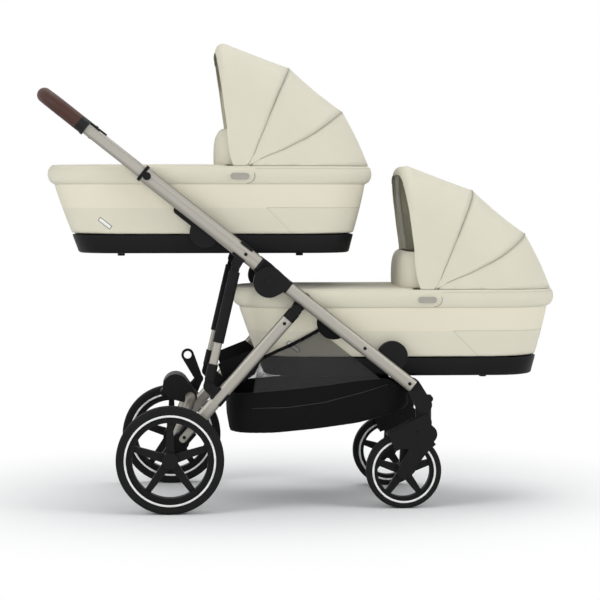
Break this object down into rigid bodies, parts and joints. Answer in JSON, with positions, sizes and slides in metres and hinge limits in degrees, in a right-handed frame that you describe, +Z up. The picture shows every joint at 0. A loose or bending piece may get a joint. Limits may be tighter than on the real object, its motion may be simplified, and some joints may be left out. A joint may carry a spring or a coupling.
{
  "type": "twin pram",
  "caption": "Tandem pram: a folding tube frame on swivel front and large rear wheels, carrying one carry-cot above and behind the other, each with a folding canopy, over a mesh-sided basket",
  "frame": {"origin": "on the floor under the middle of the pram, halfway between the handle and the front cot's end", "axes": "X forward, towards the front wheels; Y to the left of someone pushing; Z up"},
  "size_m": [1.4278, 0.648, 1.2781],
  "materials": {
    "alloy_tube": "satin anodised, warm grey",
    "steel_pin": "satin",
    "black_plastic": "fine grain",
    "grip_leather": "smooth, stitched",
    "tyre_rubber": "matt",
    "rim_plastic": "fine grain with a pale ring",
    "cot_fabric": "fine twill",
    "mattress_fabric": "knitted cotton",
    "basket_fabric": "coarse weave",
    "basket_mesh": "open mesh with bound edge",
    "bow_plastic": "smooth",
    "plate_plastic": "smooth"
  },
  "bodies": {
    "chassis": {"front_tubes": "alloy_tube", "front_crossbar": "black_plastic", "front_elbows": "black_plastic", "fold_hinge_lower": "black_plastic", "leg_brackets": "black_plastic", "front_adapters": "black_plastic", "hinge_pins": "steel_pin", "basket_tub": "basket_fabric", "basket_panels": "basket_mesh"},
    "upper_frame": {"upper_tubes": "alloy_tube", "tube_collars": "black_plastic", "fold_hinge_upper": "black_plastic", "upper_adapters": "black_plastic", "strut_brackets": "black_plastic"},
    "handle": {"handle_bar": "alloy_tube", "handle_grip": "grip_leather"},
    "handle_button_left": {"handle_button_left": "black_plastic"},
    "handle_button_right": {"handle_button_right": "black_plastic"},
    "rear_legs": {"leg_tubes": "alloy_tube", "leg_sleeves": "black_plastic", "strut_sockets": "black_plastic", "rear_arch": "alloy_tube", "wheel_carriers": "black_plastic", "rear_axles": "steel_pin", "brake_housing": "black_plastic"},
    "brake_pedal": {"brake_pedal": "black_plastic"},
    "release_lever": {"release_lever": "black_plastic"},
    "strut_lower": {"strut_inner": "alloy_tube", "strut_clevis": "black_plastic"},
    "strut_upper": {"strut_outer": "black_plastic"},
    "fork_left": {"fork_left": "black_plastic"},
    "front_wheel_left": {"front_tyre_left": "tyre_rubber", "front_rim_left": "rim_plastic"},
    "rear_wheel_left": {"rear_tyre_left": "tyre_rubber", "rear_rim_left": "rim_plastic"},
    "fork_right": {"fork_right": "black_plastic"},
    "front_wheel_right": {"front_tyre_right": "tyre_rubber", "front_rim_right": "rim_plastic"},
    "rear_wheel_right": {"rear_tyre_right": "tyre_rubber", "rear_rim_right": "rim_plastic"},
    "upper_cot": {"upper_cot_shell": "cot_fabric", "upper_cot_base": "black_plastic", "upper_mattress": "mattress_fabric", "upper_apron": "cot_fabric", "upper_canopy_pivots": "plate_plastic", "upper_canopy": "cot_fabric"},
    "upper_bow_rear": {"upper_bow_rear": "bow_plastic"},
    "upper_bow_mid": {"upper_bow_mid": "bow_plastic"},
    "upper_bow_front": {"upper_bow_front": "bow_plastic"},
    "front_cot": {"front_cot_shell": "cot_fabric", "front_cot_base": "black_plastic", "front_mattress": "mattress_fabric", "front_apron": "cot_fabric", "front_canopy_pivots": "plate_plastic", "front_canopy": "cot_fabric"},
    "front_bow_rear": {"front_bow_rear": "bow_plastic"},
    "front_bow_mid": {"front_bow_mid": "bow_plastic"},
    "front_bow_front": {"front_bow_front": "bow_plastic"}
  },
  "joints": [
    {"name": "frame_fold", "type": "hinge", "parent": "chassis", "child": "upper_frame", "pos_m": [-0.09022, 0, 0.619], "axis": [0, -1, 0], "range_deg": [-16, 0]},
    {"name": "rear_leg_fold", "type": "hinge", "parent": "chassis", "child": "rear_legs", "pos_m": [-0.01657, 0, 0.54289], "axis": [0, -1, 0], "range_deg": [-1, 6.5]},
    {"name": "strut_swing", "type": "hinge", "parent": "rear_legs", "child": "strut_lower", "pos_m": [-0.25491, 0, 0.33709], "axis": [0, -1, 0], "range_deg": [-30, 30]},
    {"name": "strut_slide", "type": "slide", "parent": "strut_lower", "child": "strut_upper", "axis": [0.2273, 0, 0.9738], "range_m": [-0.005, 0.06]},
    {"name": "handle_slide", "type": "slide", "parent": "upper_frame", "child": "handle", "axis": [-0.7837, 0, 0.6211], "range_m": [-0.12, 0]},
    {"name": "handle_button_press_left", "type": "slide", "parent": "handle", "child": "handle_button_left", "axis": [-0.6211, 0, -0.7837], "range_m": [0, 0.002], "stiffness_N_per_m": 800},
    {"name": "handle_button_press_right", "type": "slide", "parent": "handle", "child": "handle_button_right", "axis": [-0.6211, 0, -0.7837], "range_m": [0, 0.002], "stiffness_N_per_m": 800},
    {"name": "upper_cot_lift", "type": "slide", "parent": "upper_frame", "child": "upper_cot", "axis": [0.2504, 0, 0.9681], "range_m": [0, 0.55]},
    {"name": "front_cot_lift", "type": "slide", "parent": "chassis", "child": "front_cot", "axis": [0.9781, 0, 0.2079], "range_m": [0, 0.62]},
    {"name": "upper_canopy_fold", "type": "hinge", "parent": "upper_cot", "child": "upper_bow_rear", "pos_m": [-0.1669, 0, 0.90541], "axis": [0, 1, 0], "range_deg": [0, 16], "deforming": ["upper_canopy"]},
    {"name": "upper_canopy_mid", "type": "hinge", "parent": "upper_bow_rear", "child": "upper_bow_mid", "pos_m": [-0.1669, 0, 0.90541], "axis": [0, 1, 0], "range_deg": [0, 23]},
    {"name": "upper_canopy_front", "type": "hinge", "parent": "upper_bow_mid", "child": "upper_bow_front", "pos_m": [-0.1669, 0, 0.90541], "axis": [0, 1, 0], "range_deg": [0, 23]},
    {"name": "front_canopy_fold", "type": "hinge", "parent": "front_cot", "child": "front_bow_rear", "pos_m": [0.34391, 0, 0.56817], "axis": [0, 1, 0], "range_deg": [0, 16], "deforming": ["front_canopy"]},
    {"name": "front_canopy_mid", "type": "hinge", "parent": "front_bow_rear", "child": "front_bow_mid", "pos_m": [0.34391, 0, 0.56817], "axis": [0, 1, 0], "range_deg": [0, 23]},
    {"name": "front_canopy_front", "type": "hinge", "parent": "front_bow_mid", "child": "front_bow_front", "pos_m": [0.34391, 0, 0.56817], "axis": [0, 1, 0], "range_deg": [0, 23]},
    {"name": "rear_wheel_spin_left", "type": "hinge", "parent": "rear_legs", "child": "rear_wheel_left", "pos_m": [-0.35763, 0.3, 0.145], "axis": [0, 1, 0], "continuous": true},
    {"name": "fork_swivel_left", "type": "hinge", "parent": "chassis", "child": "fork_left", "pos_m": [0.33237, 0.222, 0.2587], "axis": [0, 0, 1], "continuous": true},
    {"name": "front_wheel_spin_left", "type": "hinge", "parent": "fork_left", "child": "front_wheel_left", "pos_m": [0.27837, 0.222, 0.1025], "axis": [0, 1, 0], "continuous": true},
    {"name": "rear_wheel_spin_right", "type": "hinge", "parent": "rear_legs", "child": "rear_wheel_right", "pos_m": [-0.35763, -0.3, 0.145], "axis": [0, 1, 0], "continuous": true},
    {"name": "fork_swivel_right", "type": "hinge", "parent": "chassis", "child": "fork_right", "pos_m": [0.33237, -0.222, 0.2587], "axis": [0, 0, 1], "continuous": true},
    {"name": "front_wheel_spin_right", "type": "hinge", "parent": "fork_right", "child": "front_wheel_right", "pos_m": [0.27837, -0.222, 0.1025], "axis": [0, 1, 0], "continuous": true},
    {"name": "brake_press", "type": "hinge", "parent": "rear_legs", "child": "brake_pedal", "pos_m": [-0.34363, 0, 0.318], "axis": [0, -1, 0], "range_deg": [0, 18]},
    {"name": "release_pull", "type": "hinge", "parent": "rear_legs", "child": "release_lever", "pos_m": [-0.27763, 0, 0.33], "axis": [0, 1, 0], "range_deg": [0, 35]}
  ],
  "couplings": [
    {"joint": "rear_leg_fold", "follows": "frame_fold", "ratio": -0.35},
    {"joint": "strut_swing", "follows": "frame_fold", "ratio": 0.2056},
    {"joint": "strut_slide", "follows": "frame_fold", "m_per_rad": -0.15437},
    {"joint": "upper_canopy_mid", "follows": "upper_canopy_fold", "ratio": 1.4375},
    {"joint": "upper_canopy_front", "follows": "upper_canopy_fold", "ratio": 1.4375},
    {"joint": "front_canopy_mid", "follows": "front_canopy_fold", "ratio": 1.4375},
    {"joint": "front_canopy_front", "follows": "front_canopy_fold", "ratio": 1.4375}
  ]
}
